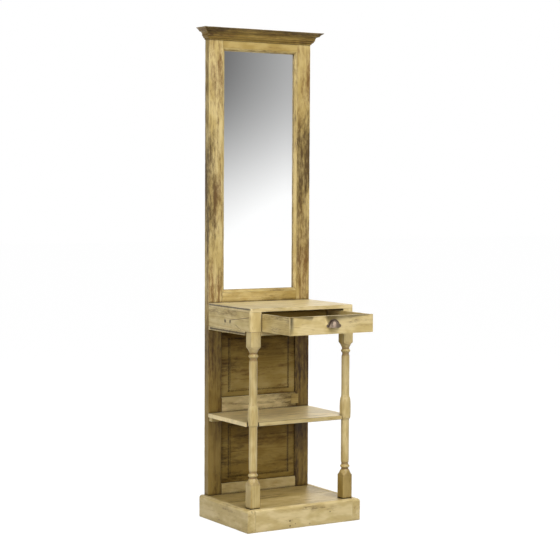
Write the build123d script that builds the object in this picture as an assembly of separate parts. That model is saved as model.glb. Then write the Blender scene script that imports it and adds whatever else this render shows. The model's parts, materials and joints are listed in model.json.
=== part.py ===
from build123d import *
import math
import os

# Hall stand with a tall mirror over a one-drawer table, a shelf, turned front legs and a plinth.
# Millimetres. X runs to the right, Y towards the wall and Z up.
# The origin is on the floor, in the middle of the back, in the plane of the wall.

# Back frame, from the floor up
frame_width = 510.0
frame_thickness = 35.0
stile_width = 67.0
bottom_rail_height = 140.0
lower_panel_height = 279.0
lock_rail_height = 96.0
upper_panel_height = 280.0
middle_rail_height = 175.0
mirror_height = 1047.0
top_rail_height = 83.0

# Grooves, tenons and eased inner edges of the back frame
groove_width = 9.0
groove_depth = 10.0
groove_setback = 9.0
arris_width = 6.0
arris_depth = 5.0

# Raised and fielded panels
panel_play = 1.5
panel_face_play = 0.3
panel_bevel_side = 45.0
panel_bevel_end = 35.0
panel_bevel_rise = 5.0
panel_step = 2.0

# Patch let into the right end of the lock rail
patch_width = 38.0
patch_height = 42.0
patch_depth = 6.0
patch_below_rail_top = 7.0
patch_over_stile = 15.0

# Mirror
moulding_width = 12.0
moulding_depth = 15.0
moulding_front_drop = 8.0
moulding_fillet = 1.5
moulding_bow = 1.5
glass_thickness = 4.0
glass_play = 1.0
backboard_thickness = 6.0
rear_bead = 8.0

# Cornice, from the lip down
cornice_reach = 44.0
cornice_lip_edge = 2.5
cornice_lip_drop = 16.0
cornice_lip_set = 15.0
cornice_lip_bow = 1.5
cornice_quirk_drop = 2.5
cornice_quirk_set = 8.0
cornice_cove_drop = 15.5
cornice_cove_set = 5.0
cornice_cove_bow = 2.5
cornice_step_drop = 1.5
cornice_step_set = 3.5
cornice_ogee_drop = 10.0
cornice_ogee_set = 8.5
cornice_ogee_bow = 2.0
cornice_foot_height = 4.5

# Table
table_depth = 389.0
table_below_mirror = 43.0
table_top_thickness = 16.0
corner_radius = 12.0
frieze_height = 82.0
frieze_side_thickness = 18.0
facing_width = 52.0
facing_thickness = 12.0
facing_round = 11.5
drawer_floor_thickness = 16.0
guide_height = 22.0
kicker_thickness = 6.0
kicker_over_drawer = 14.0
kicker_back_gap = 25.0
stop_depth = 12.0
stop_width = 40.0
stop_height = 20.0
stop_inset = 11.0

# Drawer
drawer_open = 222.0
drawer_side_play = 2.0
drawer_under_play = 0.5
drawer_over_play = 1.0
drawer_stop_play = 0.5
drawer_front_thickness = 18.0
drawer_front_lap = 8.0
drawer_side_thickness = 12.0
drawer_side_drop = 1.0
drawer_bottom_thickness = 6.0
drawer_bottom_lift = 6.0
drawer_groove_depth = 5.0
drawer_back_thickness = 12.0
drawer_back_drop = 5.0

# Cup pull
pull_offset = 7.0
pull_foot_drop = 47.5
flange_half_width = 30.0
flange_height = 34.0
flange_thickness = 2.0
ear_radius = 6.0
ear_spread = 29.0
ear_lift = 6.5
cup_half_width = 27.0
cup_height = 30.0
cup_reach = 22.0
cup_wall = 2.0
pull_screw_radius = 1.5
pull_screw_length = 13.0
pull_screw_head_radius = 3.2
pull_screw_head_height = 1.8

# Plinth and base
plinth_height = 94.0
plinth_rim = 24.5
plinth_before_table = 24.0
plinth_ledge = 14.0
plinth_round = 13.0
base_drop = 1.0
base_thickness = 18.0
base_front_board = 170.0
base_cleat_depth = 20.0
base_cleat_height = 18.0
base_cleat_end_gap = 8.0

# Shelf
shelf_above_lock_rail = 32.0
shelf_thickness = 17.0
shelf_front = 352.0
shelf_round = 4.0
shelf_notch_gap = 2.5
shelf_cleat_depth = 28.0
shelf_cleat_height = 17.0
shelf_cleat_end_gap = 3.0
dowel_radius = 4.0
dowel_length = 40.0

# Legs
leg_block = 46.0
leg_front_set = 1.0
leg_inset_left = 5.0
leg_inset_right = 0.5
block_ease = 1.5
lower_block_height = 97.0
upper_block_height = 59.0
spigot_radius = 10.0
spigot_length = 12.0
column_foot_radius = 16.5
column_waist_radius = 17.6
column_head_radius = 16.6
neck_radius = 15.4
ring_radius = 20.0
ring_height = 13.0
bead_radius = 18.2
bead_height = 8.0
shoulder_radius = 18.3
lower_shoulder_height = 21.0
upper_shoulder_height = 20.0
neck_height = 12.0
neck_bow = 1.2
column_bow = 0.6
drum_radius = 22.8
drum_end_radius = 22.0
drum_height = 89.0
drum_foot_round = 11.0
drum_head_round = 13.0
drum_round_bow = 2.0

# Heights and places that follow
lower_panel_low = bottom_rail_height
lower_panel_high = lower_panel_low + lower_panel_height
upper_panel_low = lower_panel_high + lock_rail_height
upper_panel_high = upper_panel_low + upper_panel_height
mirror_low = upper_panel_high + middle_rail_height
mirror_high = mirror_low + mirror_height
total_height = mirror_high + top_rail_height

half_frame = frame_width / 2
half_opening = half_frame - stile_width
frame_front = -frame_thickness
groove_front = frame_front + groove_setback
groove_back = groove_front + groove_width

table_front = -table_depth
table_top_high = mirror_low - table_below_mirror
table_top_low = table_top_high - table_top_thickness
frieze_low = table_top_low - frieze_height
drawer_floor_low = frieze_low - drawer_floor_thickness
facing_back = table_front + facing_thickness
frieze_inner = half_frame - frieze_side_thickness
half_mouth = half_frame - facing_width

base_high = plinth_height - base_drop
base_low = base_high - base_thickness
half_plinth = half_frame + plinth_rim
plinth_front = table_front - plinth_before_table
base_front = plinth_front + plinth_rim
ledge_side = half_frame - plinth_ledge
ledge_front = base_front + plinth_ledge
base_joint = base_front + base_front_board

shelf_high = lower_panel_high + shelf_above_lock_rail
shelf_low = shelf_high - shelf_thickness

leg_y = table_front + leg_front_set + leg_block / 2
leg_left_x = -half_frame + leg_inset_left + leg_block / 2
leg_right_x = half_frame - leg_inset_right - leg_block / 2

nodes = {}


def block(x0, x1, y0, y1, z0, z1):
    """A box from its low and high corners."""
    centre = Pos((x0 + x1) / 2, (y0 + y1) / 2, (z0 + z1) / 2)
    return centre * Box(x1 - x0, y1 - y0, z1 - z0)


def bow(start, end, rise):
    """An arc from start to end whose middle stands to the right of the straight line by rise."""
    run, climb = end[0] - start[0], end[1] - start[1]
    length = math.hypot(run, climb)
    middle = ((start[0] + end[0]) / 2 + rise * climb / length,
              (start[1] + end[1]) / 2 - rise * run / length)
    return ThreePointArc(start, middle, end)


def add_pair(stem, solid):
    """Keep a left-hand solid and its mirror image."""
    nodes[stem + "_left"] = solid
    nodes[stem + "_right"] = solid.mirror(Plane.YZ)


def eased_opening(low, high):
    """The tapering cut that eases the front edges round one opening of the frame."""
    centre_z = (low + high) / 2
    outer = Plane(origin=(0, frame_front, centre_z), x_dir=(1, 0, 0), z_dir=(0, -1, 0))
    inner = outer.offset(-arris_depth)
    wide = Rectangle(2 * (half_opening + arris_width), high - low + 2 * arris_width)
    narrow = Rectangle(2 * half_opening, high - low)
    return loft([outer * wide, inner * narrow])


def rail(low, high):
    """A rail between the stiles, with a stub tenon at each end."""
    body = block(-half_opening, half_opening, frame_front, 0, low, high)
    reach = half_opening + groove_depth
    return body + block(-reach, reach, groove_front, groove_back, low, high)


def panel_grooves(low, high):
    """The grooves that a panel needs in the rails under and over it."""
    reach = half_opening + groove_depth
    return block(-reach, reach, groove_front, groove_back, low - groove_depth, high + groove_depth)


def fielded_panel(low, high):
    """A panel that stands in the grooves, with bevelled margins and a raised field."""
    reach = half_opening + groove_depth - panel_play
    tongue_front = groove_front + panel_face_play
    tongue = block(-reach, reach, tongue_front, groove_back - panel_face_play,
                   low - groove_depth, high + groove_depth - panel_play)
    centre_z = (low + high) / 2
    field_half_width = half_opening - panel_bevel_side
    field_height = high - low - 2 * panel_bevel_end
    margin_plane = Plane(origin=(0, tongue_front, centre_z), x_dir=(1, 0, 0), z_dir=(0, -1, 0))
    bevel = loft([
        margin_plane * Rectangle(2 * (half_opening - panel_play), high - low - 2 * panel_play),
        margin_plane.offset(panel_bevel_rise) * Rectangle(2 * field_half_width, field_height),
    ])
    field_front = tongue_front - panel_bevel_rise - panel_step
    field = block(-field_half_width, field_half_width, field_front, tongue_front,
                  centre_z - field_height / 2, centre_z + field_height / 2)
    return tongue + bevel + field


def back_frame():
    """Stiles, rails, patch and the two panels."""
    openings = [(lower_panel_low, lower_panel_high), (upper_panel_low, upper_panel_high)]
    eased = [eased_opening(*span) for span in openings]
    grooves = [panel_grooves(*span) for span in openings]

    patch_high = upper_panel_low - patch_below_rail_top
    patch_right = half_opening + patch_over_stile
    patch = block(patch_right - patch_width, patch_right, frame_front, frame_front + patch_depth,
                  patch_high - patch_height, patch_high)

    stile = block(-half_frame, -half_opening, frame_front, 0, 0, total_height)
    stile -= block(-half_opening - groove_depth, -half_opening, groove_front, groove_back,
                   0, mirror_low)
    stile -= block(-half_opening - groove_depth, -half_opening, groove_front, groove_back,
                   mirror_high, total_height)
    for cut in eased:
        stile -= cut
    nodes["stile_left"] = stile
    nodes["stile_right"] = stile.mirror(Plane.YZ) - patch

    rails = {
        "bottom_rail": (0, lower_panel_low),
        "lock_rail": (lower_panel_high, upper_panel_low),
        "middle_rail": (upper_panel_high, mirror_low),
        "top_rail": (mirror_high, total_height),
    }
    for name, span in rails.items():
        piece = rail(*span)
        for cut in grooves + eased:
            piece -= cut
        if name == "lock_rail":
            piece -= patch
        nodes[name] = piece
    nodes["rail_patch"] = patch
    nodes["lower_panel"] = fielded_panel(*openings[0])
    nodes["upper_panel"] = fielded_panel(*openings[1])


def mitred_strip(section, low, high, low_mitre, high_mitre, width):
    """Run a section along X from low to high, each end lengthened by its mitre at the full width.

    The section is drawn with its reach along X and its height along Y.
    """
    reach = max(abs(low) + abs(low_mitre), abs(high) + abs(high_mitre))
    strip = extrude(Plane.YZ * section, reach, both=True)
    outline = Polyline((low, 0), (high, 0), (high + high_mitre, width), (low - low_mitre, width),
                       close=True)
    return strip & extrude(make_face(outline), total_height)


def mirror_moulding_section():
    """Ovolo section: the reach into the opening, and the height over the wall plane."""
    inner_front = frame_thickness - moulding_front_drop
    back = frame_thickness - moulding_depth
    start = (moulding_fillet, frame_thickness)
    end = (moulding_width - moulding_fillet, inner_front)
    straight = Polyline(end, (moulding_width, inner_front), (moulding_width, back), (0, back),
                        (0, frame_thickness), start)
    return make_face(Curve() + [straight, bow(start, end, -moulding_bow)])


def mirror_unit():
    """Glass, its mitred front mouldings, the back board and the rear beads."""
    centre_z = (mirror_low + mirror_high) / 2
    section = mirror_moulding_section()
    long_strip, short_strip = [
        mitred_strip(section, -length / 2, length / 2, -moulding_width, -moulding_width, moulding_width)
        for length in (mirror_height, 2 * half_opening)
    ]
    # Strip height (Z) turns to face the room (-Y) and strip reach (Y) turns towards the glass centre.
    places = {
        "bottom": (short_strip, (0, mirror_low), 0),
        "right": (long_strip, (half_opening, centre_z), 90),
        "top": (short_strip, (0, mirror_high), 180),
        "left": (long_strip, (-half_opening, centre_z), 270),
    }
    for side, (strip, (x, z), turn) in places.items():
        wall = Plane(origin=(x, 0, z), x_dir=(1, 0, 0), z_dir=(0, -1, 0))
        nodes["mirror_moulding_" + side] = wall.location * Rot(0, 0, turn) * strip

    half_glass = half_opening - glass_play
    glass_low = mirror_low + glass_play
    glass_high = mirror_high - glass_play
    glass_front = frame_front + moulding_depth
    glass_back = glass_front + glass_thickness
    board_back = glass_back + backboard_thickness
    bead_back = board_back + rear_bead
    nodes["mirror_glass"] = block(-half_glass, half_glass, glass_front, glass_back,
                                  glass_low, glass_high)
    nodes["mirror_backboard"] = block(-half_glass, half_glass, glass_back, board_back,
                                      glass_low, glass_high)
    side_bead = block(-half_opening, -half_opening + rear_bead, board_back, bead_back,
                      mirror_low, mirror_high)
    low_bead = block(-half_opening + rear_bead, half_opening - rear_bead, board_back, bead_back,
                     mirror_low, mirror_low + rear_bead)
    add_pair("rear_bead", side_bead)
    nodes["rear_bead_bottom"] = low_bead
    nodes["rear_bead_top"] = Pos(0, 0, mirror_height - rear_bead) * low_bead


def cornice_section():
    """Crown moulding section: the reach from the frame, and the height over the floor."""
    tip = (cornice_reach, total_height)
    edge = (cornice_reach, total_height - cornice_lip_edge)
    lip = (cornice_reach - cornice_lip_set, total_height - cornice_lip_drop)
    quirk = (lip[0] - cornice_quirk_set, lip[1] - cornice_quirk_drop)
    cove = (quirk[0] - cornice_cove_set, quirk[1] - cornice_cove_drop)
    step = (cove[0] - cornice_step_set, cove[1] - cornice_step_drop)
    ogee = (step[0] - cornice_ogee_set, step[1] - cornice_ogee_drop)
    foot = (ogee[0], ogee[1] - cornice_foot_height)
    edges = [
        Line((0, total_height), tip),
        Line(tip, edge),
        bow(edge, lip, cornice_lip_bow),
        Line(lip, quirk),
        bow(quirk, cove, cornice_cove_bow),
        Line(cove, step),
        bow(step, ogee, -cornice_ogee_bow),
        Line(ogee, foot),
        Line(foot, (0, foot[1])),
        Line((0, foot[1]), (0, total_height)),
    ]
    return make_face(Curve() + edges)


def cornice():
    """Front moulding with a return at each side, mitred at the corners."""
    section = cornice_section()
    reach = cornice_reach
    front = mitred_strip(section, -half_frame, half_frame, reach, reach, reach)
    facing_room = Plane(origin=(0, frame_front, 0), x_dir=(-1, 0, 0), z_dir=(0, 0, 1))
    nodes["cornice_front"] = facing_room.location * front
    side = mitred_strip(section, 0, frame_thickness, reach, 0, reach)
    facing_left = Plane(origin=(-half_frame, frame_front, 0), x_dir=(0, 1, 0), z_dir=(0, 0, 1))
    add_pair("cornice_return", facing_left.location * side)


def table():
    """Top, frieze, the facings beside the drawer and the fittings that the drawer runs in."""
    top = block(-half_frame, half_frame, table_front, frame_front, table_top_low, table_top_high)
    front_corners = top.edges().filter_by(Axis.Z).group_by(Axis.Y)[0]
    nodes["table_top"] = fillet(front_corners, corner_radius)

    add_pair("frieze_side", block(-half_frame, -frieze_inner, facing_back, frame_front,
                                  frieze_low, table_top_low))
    facing = block(-half_frame, -half_mouth, table_front, facing_back, frieze_low, table_top_low)
    outer_corner = facing.edges().filter_by(Axis.Z).group_by(Axis.Y)[0].sort_by(Axis.X)[0]
    add_pair("facing", fillet(outer_corner, facing_round))

    floor = block(-half_frame, half_frame, table_front, frame_front, drawer_floor_low, frieze_low)
    leg_back = leg_y + leg_block / 2
    floor -= block(-half_frame, leg_left_x + leg_block / 2, table_front, leg_back,
                   drawer_floor_low, frieze_low)
    floor -= block(leg_right_x - leg_block / 2, half_frame, table_front, leg_back,
                   drawer_floor_low, frieze_low)
    nodes["drawer_floor"] = floor

    add_pair("drawer_guide", block(-frieze_inner, -half_mouth, facing_back, frame_front,
                                   frieze_low, frieze_low + guide_height))
    kicker = block(-frieze_inner, -half_mouth + kicker_over_drawer, facing_back,
                   frame_front - kicker_back_gap, table_top_low - kicker_thickness, table_top_low)
    add_pair("drawer_kicker", kicker)
    stop_outer = -half_mouth + drawer_side_play + drawer_side_thickness + stop_inset
    stop = block(stop_outer, stop_outer + stop_width, frame_front - stop_depth, frame_front,
                 frieze_low, frieze_low + stop_height)
    add_pair("drawer_stop", stop)


def drawer():
    """The drawer, pulled open, with its cup pull."""
    half = half_mouth - drawer_side_play
    front = table_front - drawer_open
    front_back = front + drawer_front_thickness
    back = frame_front - stop_depth - drawer_stop_play - drawer_open
    low = frieze_low + drawer_under_play
    high = table_top_low - kicker_thickness - drawer_over_play
    side_front = front_back - drawer_front_lap
    side_high = high - drawer_side_drop
    bottom_low = low + drawer_bottom_lift
    bottom_high = bottom_low + drawer_bottom_thickness
    inner = half - drawer_side_thickness
    half_bottom = inner + drawer_groove_depth
    bottom_front = front_back - drawer_groove_depth
    bottom = block(-half_bottom, half_bottom, bottom_front, back, bottom_low, bottom_high)

    side = block(-half, -inner, side_front, back, low, side_high)
    add_pair("drawer_side", side - bottom)
    nodes["drawer_bottom"] = bottom
    nodes["drawer_back"] = block(-inner, inner, back - drawer_back_thickness, back,
                                 bottom_high, side_high - drawer_back_drop)

    board = block(-half, half, front, front_back, low, high)
    lap = block(-half, -inner, side_front, front_back, low, high)
    board -= [lap, lap.mirror(Plane.YZ), bottom]

    pull_plane = Plane(origin=(pull_offset, front, high - pull_foot_drop),
                       x_dir=(1, 0, 0), z_dir=(0, -1, 0))
    hole = extrude(Circle(pull_screw_radius), flange_thickness - pull_screw_length)
    screw = revolve(Plane.XZ * pull_screw_profile(), Axis.Z)
    ears = {"left": Pos(-ear_spread, ear_lift), "right": Pos(ear_spread, ear_lift)}
    for side_name, ear in ears.items():
        place = pull_plane.location * ear
        board -= place * hole
        nodes["pull_screw_" + side_name] = place * screw
    nodes["drawer_front"] = board
    nodes["cup_pull"] = pull_plane.location * cup_pull(ears.values())


def pull_screw_profile():
    """Half outline of a screw with a ball-shaped head, radius against height over the front."""
    crown = flange_thickness + pull_screw_head_height
    shoulder = (pull_screw_head_radius, flange_thickness)
    ball = (pull_screw_head_radius ** 2 + pull_screw_head_height ** 2) / (2 * pull_screw_head_height)
    half_angle = math.asin(pull_screw_head_radius / ball) / 2
    middle = (ball * math.sin(half_angle), crown - ball * (1 - math.cos(half_angle)))
    edges = [
        Polyline((0, crown), (0, flange_thickness - pull_screw_length),
                 (pull_screw_radius, flange_thickness - pull_screw_length),
                 (pull_screw_radius, flange_thickness), shoulder),
        ThreePointArc(shoulder, middle, (0, crown)),
    ]
    return make_face(Curve() + edges)


def cup_dome(shrink):
    """A quarter round dome over the X axis, its ends pointed, stretched to the cup's height."""
    half = cup_half_width - shrink
    reach = cup_reach - shrink
    outline = Curve() + [ThreePointArc((-half, 0), (0, reach), (half, 0)), Line((half, 0), (-half, 0))]
    quarter = revolve(make_face(outline), Axis.X, 90)
    return scale(quarter, by=(1, (cup_height - shrink) / reach, 1))


def cup_pull(ears):
    """A hollow half-dome on a thin flange with two eared feet, open underneath and behind."""
    upper_half = Pos(0, flange_height / 2) * Rectangle(2 * flange_half_width, flange_height)
    arch = Ellipse(flange_half_width, flange_height) & upper_half
    flange = extrude(arch, flange_thickness)
    for ear in ears:
        flange += ear * extrude(Circle(ear_radius), flange_thickness)
    pull = flange + cup_dome(0) - cup_dome(cup_wall)
    for ear in ears:
        pull -= ear * extrude(Circle(pull_screw_radius), flange_thickness)
    return pull


def leg_profile():
    """Half outline of a turned leg, radius against height, from its foot to its head."""
    corner = leg_block / math.sqrt(2) + block_ease
    foot_top = base_high + lower_block_height
    lower_neck = foot_top + lower_shoulder_height
    ring_low = lower_neck + neck_height
    bead_low = ring_low + ring_height
    bead_high = bead_low + bead_height
    column_foot = bead_high + bead_height / 2
    drum_low, drum_high = shelf_low, shelf_low + drum_height
    head_low = frieze_low - upper_block_height
    upper_neck = head_low - upper_shoulder_height
    upper_ring_low = upper_neck - neck_height - ring_height
    column_head = upper_ring_low - bead_height

    drum_foot = (drum_end_radius, drum_low + drum_foot_round)
    drum_head = (drum_end_radius, drum_high - drum_head_round)
    waist_low = (column_waist_radius, drum_low)
    waist_high = (column_waist_radius, drum_high)
    swell = drum_radius - drum_end_radius
    ring_out = ring_radius - neck_radius
    edges = [
        Polyline((0, base_high), (corner, base_high), (corner, foot_top), (shoulder_radius, lower_neck)),
        bow((shoulder_radius, lower_neck), (neck_radius, ring_low), -neck_bow),
        bow((neck_radius, ring_low), (neck_radius, bead_low), ring_out),
        bow((neck_radius, bead_low), (neck_radius, bead_high), bead_radius - neck_radius),
        Line((neck_radius, bead_high), (column_foot_radius, column_foot)),
        bow((column_foot_radius, column_foot), waist_low, column_bow),
        bow(waist_low, drum_foot, drum_round_bow),
        bow(drum_foot, drum_head, swell),
        bow(drum_head, waist_high, drum_round_bow),
        bow(waist_high, (column_head_radius, column_head), column_bow),
        Line((column_head_radius, column_head), (neck_radius, upper_ring_low)),
        bow((neck_radius, upper_ring_low), (neck_radius, upper_ring_low + ring_height), ring_out),
        bow((neck_radius, upper_ring_low + ring_height), (shoulder_radius, upper_neck), -neck_bow),
        Polyline((shoulder_radius, upper_neck), (corner, head_low), (corner, frieze_low),
                 (0, frieze_low), (0, base_high)),
    ]
    return make_face(Curve() + edges)


def leg():
    """A square post turned between its blocks, where the turned shoulders leave arched faces."""
    half = leg_block / 2
    post = block(-half, half, -half, half, base_high, frieze_low)
    post = fillet(post.edges().filter_by(Axis.Z), block_ease)
    turned = revolve(Plane.XZ * leg_profile(), Axis.Z)
    return (post & turned) + spigot()


def spigot():
    """The round tenon under a leg."""
    return Pos(0, 0, base_high - spigot_length / 2) * Cylinder(spigot_radius, spigot_length)


def legs_and_shelf():
    """Two legs, the shelf notched round their drums, its dowels and its cleat."""
    shelf = block(-half_frame, half_frame, -shelf_front, frame_front, shelf_low, shelf_high)
    shelf = fillet(shelf.edges().filter_by(Axis.X).group_by(Axis.Y)[0], shelf_round)
    dowel = Rot(90, 0, 0) * Cylinder(dowel_radius, dowel_length)
    for side, leg_x in (("left", leg_left_x), ("right", leg_right_x)):
        place = Pos(leg_x, leg_y, 0)
        pin = Pos(leg_x, leg_y + dowel_length / 2, (shelf_low + shelf_high) / 2) * dowel
        nodes["shelf_dowel_" + side] = pin
        nodes["leg_" + side] = place * leg() - pin
        notch = extrude(Circle(drum_radius + shelf_notch_gap), shelf_thickness)
        shelf -= [Pos(leg_x, leg_y, shelf_low) * notch, pin]
    nodes["shelf"] = shelf
    cleat_end = half_frame - shelf_cleat_end_gap
    nodes["shelf_cleat"] = block(-cleat_end, cleat_end, frame_front - shelf_cleat_depth, frame_front,
                                 shelf_low - shelf_cleat_height, shelf_low)


def plinth():
    """Rounded plinth boards with a ledge that carries the two base boards, and the rear cleat."""
    side = block(-half_plinth, -ledge_side, plinth_front, 0, 0, plinth_height)
    top_edges = side.faces().sort_by(Axis.Z)[-1].edges()
    outer_edge = top_edges.sort_by(Axis.X)[0]
    front_edge = top_edges.sort_by(Axis.Y)[0]
    side = fillet([outer_edge, front_edge], plinth_round)
    side -= block(-half_frame, -ledge_side, base_front, frame_front, base_low, plinth_height)
    side -= block(-half_frame, -ledge_side, frame_front, 0, 0, plinth_height)
    add_pair("plinth_side", side)

    front = block(-ledge_side, ledge_side, plinth_front, ledge_front, 0, plinth_height)
    front = fillet(front.faces().sort_by(Axis.Z)[-1].edges().sort_by(Axis.Y)[0], plinth_round)
    front -= block(-ledge_side, ledge_side, base_front, ledge_front, base_low, plinth_height)
    nodes["plinth_front"] = front

    front_board = block(-half_frame, half_frame, base_front, base_joint, base_low, base_high)
    for leg_x in (leg_left_x, leg_right_x):
        front_board -= Pos(leg_x, leg_y, 0) * spigot()
    nodes["base_board_front"] = front_board
    nodes["base_board_back"] = block(-half_frame, half_frame, base_joint, frame_front,
                                     base_low, base_high)
    cleat_end = half_opening - base_cleat_end_gap
    nodes["base_cleat"] = block(-cleat_end, cleat_end, frame_front - base_cleat_depth, frame_front,
                                base_low - base_cleat_height, base_low)


back_frame()
mirror_unit()
cornice()
table()
drawer()
legs_and_shelf()
plinth()

os.makedirs("parts", exist_ok=True)
for name, shape in nodes.items():
    export_step(shape, "parts/" + name + ".step")
print(len(nodes), "nodes")
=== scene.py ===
import json
import math

import bmesh
import bpy
from bpy.props import FloatProperty, FloatVectorProperty, PointerProperty
from mathutils import Matrix, Vector, noise


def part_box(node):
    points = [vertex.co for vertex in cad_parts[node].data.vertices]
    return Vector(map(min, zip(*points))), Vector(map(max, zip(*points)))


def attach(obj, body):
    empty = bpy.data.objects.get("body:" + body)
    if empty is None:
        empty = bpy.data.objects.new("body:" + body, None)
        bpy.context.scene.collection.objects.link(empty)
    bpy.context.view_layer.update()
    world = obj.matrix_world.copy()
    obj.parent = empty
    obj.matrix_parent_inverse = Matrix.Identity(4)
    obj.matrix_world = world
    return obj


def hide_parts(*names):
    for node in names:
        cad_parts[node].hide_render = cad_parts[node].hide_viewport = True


# Dresses a hall stand: waxed old pine, a silvered mirror and a bronzed cup pull, in a plain studio.
# Metres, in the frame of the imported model: X to the right, Y towards the wall, Z up.

bl_info = {
    "name": "Hall Stand",
    "version": (1, 0, 0),
    "blender": (4, 5, 0),
    "location": "3D View > Sidebar > Hall Stand",
    "description": "Dresses the hall stand in waxed pine, mirror glass and bronze, and lights it",
    "category": "Object",
}

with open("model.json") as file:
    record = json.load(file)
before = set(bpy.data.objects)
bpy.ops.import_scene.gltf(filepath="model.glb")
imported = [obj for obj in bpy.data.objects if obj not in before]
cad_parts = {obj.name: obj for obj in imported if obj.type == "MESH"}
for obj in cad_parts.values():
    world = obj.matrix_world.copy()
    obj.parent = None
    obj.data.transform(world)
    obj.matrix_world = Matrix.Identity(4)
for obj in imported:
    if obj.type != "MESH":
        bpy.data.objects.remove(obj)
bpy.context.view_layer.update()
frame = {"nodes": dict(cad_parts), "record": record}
node_names = sorted(frame["nodes"])

ALONG_X = (0.0, math.pi / 2, 0.0)
ALONG_Y = (math.pi / 2, 0.0, 0.0)
ALONG_Z = (0.0, 0.0, 0.0)

# The larger marks of the photograph, as places on the boards: knots are (centre, radius), and
# cracks and dark strips are (start, end, width)
STILE_CRACKS = (
    ((-0.2157, -0.035, 1.0526), (-0.2257, -0.035, 0.935), 0.0009),
)
TOP_MARKS = (
    ((-0.255, -0.0409, 0.9217), (-0.255, -0.3877, 0.9215), 0.005),
)
FRIEZE_KNOTS = (
    ((-0.255, -0.177, 0.8605), 0.010),
    ((-0.255, -0.2193, 0.8624), 0.009),
)
FRIEZE_CRACKS = (
    ((-0.255, -0.2193, 0.8679), (-0.255, -0.3783, 0.8879), 0.0018),
    ((-0.255, -0.2654, 0.8504), (-0.255, -0.3069, 0.8328), 0.0018),
)
FLOOR_MARKS = (
    ((-0.255, -0.0476, 0.8208), (-0.255, -0.352, 0.8198), 0.007),
)
PLINTH_KNOTS = (
    ((-0.0744, -0.413, 0.0326), 0.004),
    ((-0.0743, -0.413, 0.0115), 0.004),
    ((-0.0477, -0.413, 0.0188), 0.003),
    ((0.025, -0.413, 0.011), 0.003),
    ((0.1255, -0.413, 0.0522), 0.0035),
    ((0.0046, -0.413, 0.0795), 0.003),
)

# Worn boards: radii of finer edges, spacing of the cuts between dents, and the angles that count as
# flat and as sharp
FINE_EDGE = 0.0005
THIN_EDGE = 0.0004
BEAD_EDGE = 0.0008
CUT_SPACING = 0.02
FLAT_ANGLE = math.radians(1.5)
SHARP_ANGLE = math.radians(35)

# Points closer than this are one point, before and after the edges are rounded
MERGE_GAP = 1e-6
BEVEL_GAP = 2e-5

# How far the pith line lies from a board's middle, and how much that changes from board to board
PITH_NEAR = 0.03
PITH_SPREAD = 0.035

# Legs: half the width of their square blocks, then the radii of their turning
LEG_HALF = 0.023
LEG_CORNER = LEG_HALF * 1.5
CORNER_EASE = 0.0012
WAIST = 0.0174
GROOVE = 0.0149
RING = 0.0206
RING_CREST = 0.0195
SPIGOT_RADIUS = 0.010

# Turned ends of a leg, as (height over the floor, radius) from below
LEG_FOOT = (
    (0.191, LEG_CORNER), (0.1915, 0.0345), (0.195, 0.0308), (0.200, 0.0264), (0.206, 0.0232),
    (0.213, 0.0203), (0.2175, 0.0173), (0.2205, 0.0152), (0.223, 0.0152), (0.226, 0.0172),
    (0.2285, 0.0197), (0.231, RING), (0.2335, 0.0199), (0.2365, 0.0177), (0.240, 0.0158),
    (0.2425, GROOVE), (0.2445, GROOVE), (0.2475, 0.0161), (0.252, 0.0171), (0.258, WAIST),
)
LEG_HEAD = (
    (0.700, WAIST), (0.706, 0.0171), (0.710, 0.0160), (0.7125, GROOVE), (0.7175, GROOVE),
    (0.7205, 0.0160), (0.7235, 0.0183), (0.7255, 0.0200), (0.728, RING), (0.7305, 0.0197),
    (0.7335, 0.0177), (0.737, 0.0159), (0.7395, 0.0156), (0.743, 0.0168), (0.748, 0.0191),
    (0.753, 0.0214), (0.757, 0.0236), (0.7605, 0.0263), (0.7645, 0.0308), (0.767, 0.0345),
    (0.7675, LEG_CORNER),
)
DRUM_FOOT = 0.4345
DRUM_HEAD = 0.5235

# Each leg: its node, the radius of its drum, how much higher that ends, and the share of its tone
# that is left at its foot
LEGS = (
    ("leg_left", 0.0223, 0.0, 0.88),
    ("leg_right", 0.0241, 0.007, 0.62),
)

# Points round a leg, and the height of its rows in the turned spans and in the plain ones
LEG_FACETS = 96
FINE_ROW = 0.0008
PLAIN_ROW = 0.006
LAST_ROW = 0.0005
TURNED_SPANS = ((0.188, 0.262), (0.428, 0.54), (0.695, 0.772))
SHOULDER_SPANS = ((0.19, 0.226), (0.737, 0.768))
LEG_CREASE = math.radians(28)

# Wear of the legs: its depth and how far it takes the wood back, then where painted shade darkens the
# grooves and the shoulders under the blocks
LEG_WEAR = 0.0003
LEG_WORN_BACK = 0.0002
HOLLOW_RADIUS = 0.0172
HOLLOW_DEPTH = 0.0015
SHOULDER_SHADE = 0.35

# Shelf: its front between the legs, the notches round the drums and the rounding of the front
SHELF_FRONT = -0.375
FRONT_GAP = 1e-5
NOTCH_RADIUS = 0.0253
NOTCH_STEPS = 24
SHELF_ROUND = 0.004
ROUND_SHARE = 0.3

# Camera, fitted to the straight edges of the photograph: its place and its own three directions
CAMERA_PLACE = (-3.612555, -6.066335, 1.43356)
CAMERA_RIGHT = (0.8515044, -0.524325, 0.0048566)
CAMERA_UP = (0.026687, 0.0525862, 0.9982597)
CAMERA_BACK = (-0.5236679, -0.8498929, 0.05877)

# The room in the mirror: the span of heights over which it darkens, the light left at the top, the
# light lost on the way up and how soon it goes
ROOM_SPAN = (-0.05, 0.1)
ROOM_TOP = 0.17
ROOM_FALL = 0.88
ROOM_HASTE = 1.71


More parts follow.
